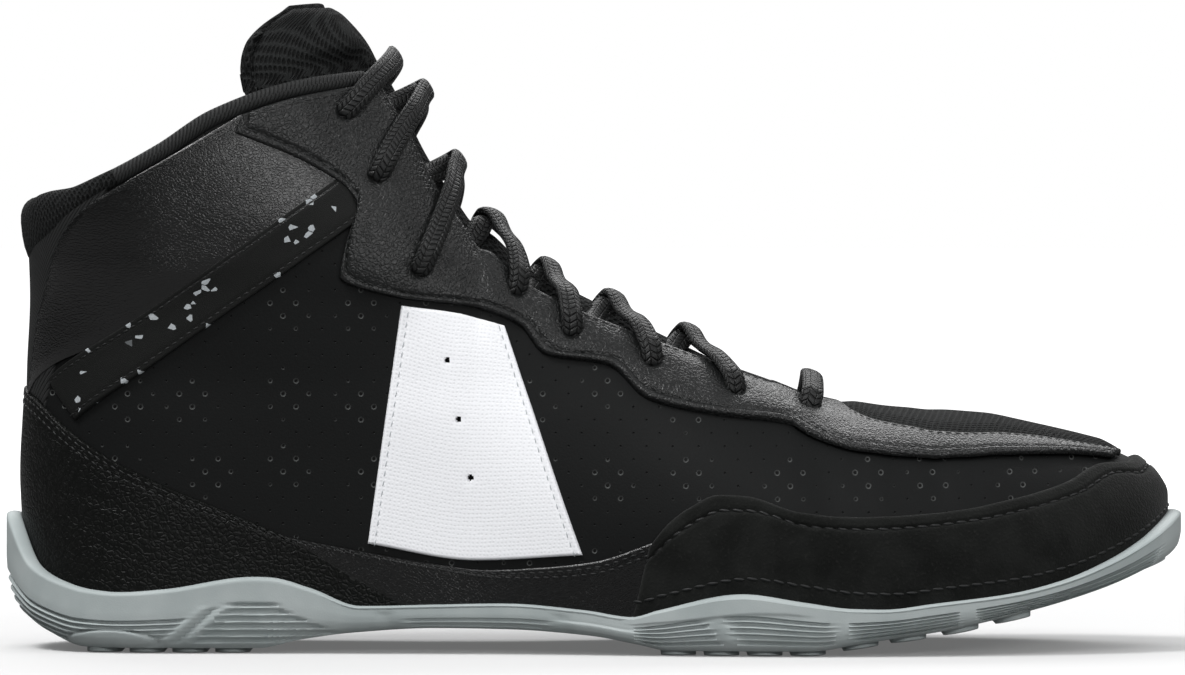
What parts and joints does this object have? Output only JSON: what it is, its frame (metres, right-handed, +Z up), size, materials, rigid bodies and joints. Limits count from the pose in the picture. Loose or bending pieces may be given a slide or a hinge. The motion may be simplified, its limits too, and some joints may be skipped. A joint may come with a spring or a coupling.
{
  "type": "wrestling shoe",
  "caption": "Mid-cut lace-up wrestling shoe, right foot, with a thin flexible cup sole, leather eyestays, suede toe rand, padded collar and tongue.",
  "frame": {"origin": "on the floor under the middle of the shoe's length and width", "axes": "+X towards the toe, +Y towards the medial side, +Z up"},
  "size_m": [0.286, 0.1008, 0.157],
  "materials": {
    "rubber": "matt moulded grey rubber",
    "synthetic": "matt black perforated synthetic leather",
    "leather": "grained black synthetic leather, satin",
    "suede": "black suede with a short nap",
    "mesh": "black open spacer mesh",
    "foam": "black knit over foam",
    "white_synthetic": "white dimpled synthetic leather",
    "lace": "black braided oval lace"
  },
  "bodies": {
    "root": {"outsole": "rubber", "upper": "synthetic", "tongue": "mesh", "insole": "foam", "collar_roll": "mesh", "heel_counter": "leather", "arch_panel_lateral": "leather", "arch_panel_medial": "leather", "toe_rand": "suede", "eyestay_lateral": "leather", "eyestay_medial": "leather", "strap_lateral": "synthetic", "strap_medial": "synthetic", "saddle_lateral": "white_synthetic", "saddle_medial": "white_synthetic", "lace_top_bar": "lace", "lace_cross_1": "lace", "lace_cross_2": "lace", "lace_cross_3": "lace", "lace_cross_4": "lace", "lace_cross_5": "lace", "lace_cross_6": "lace", "lace_toe_bar": "lace"}
  },
  "joints": []
}
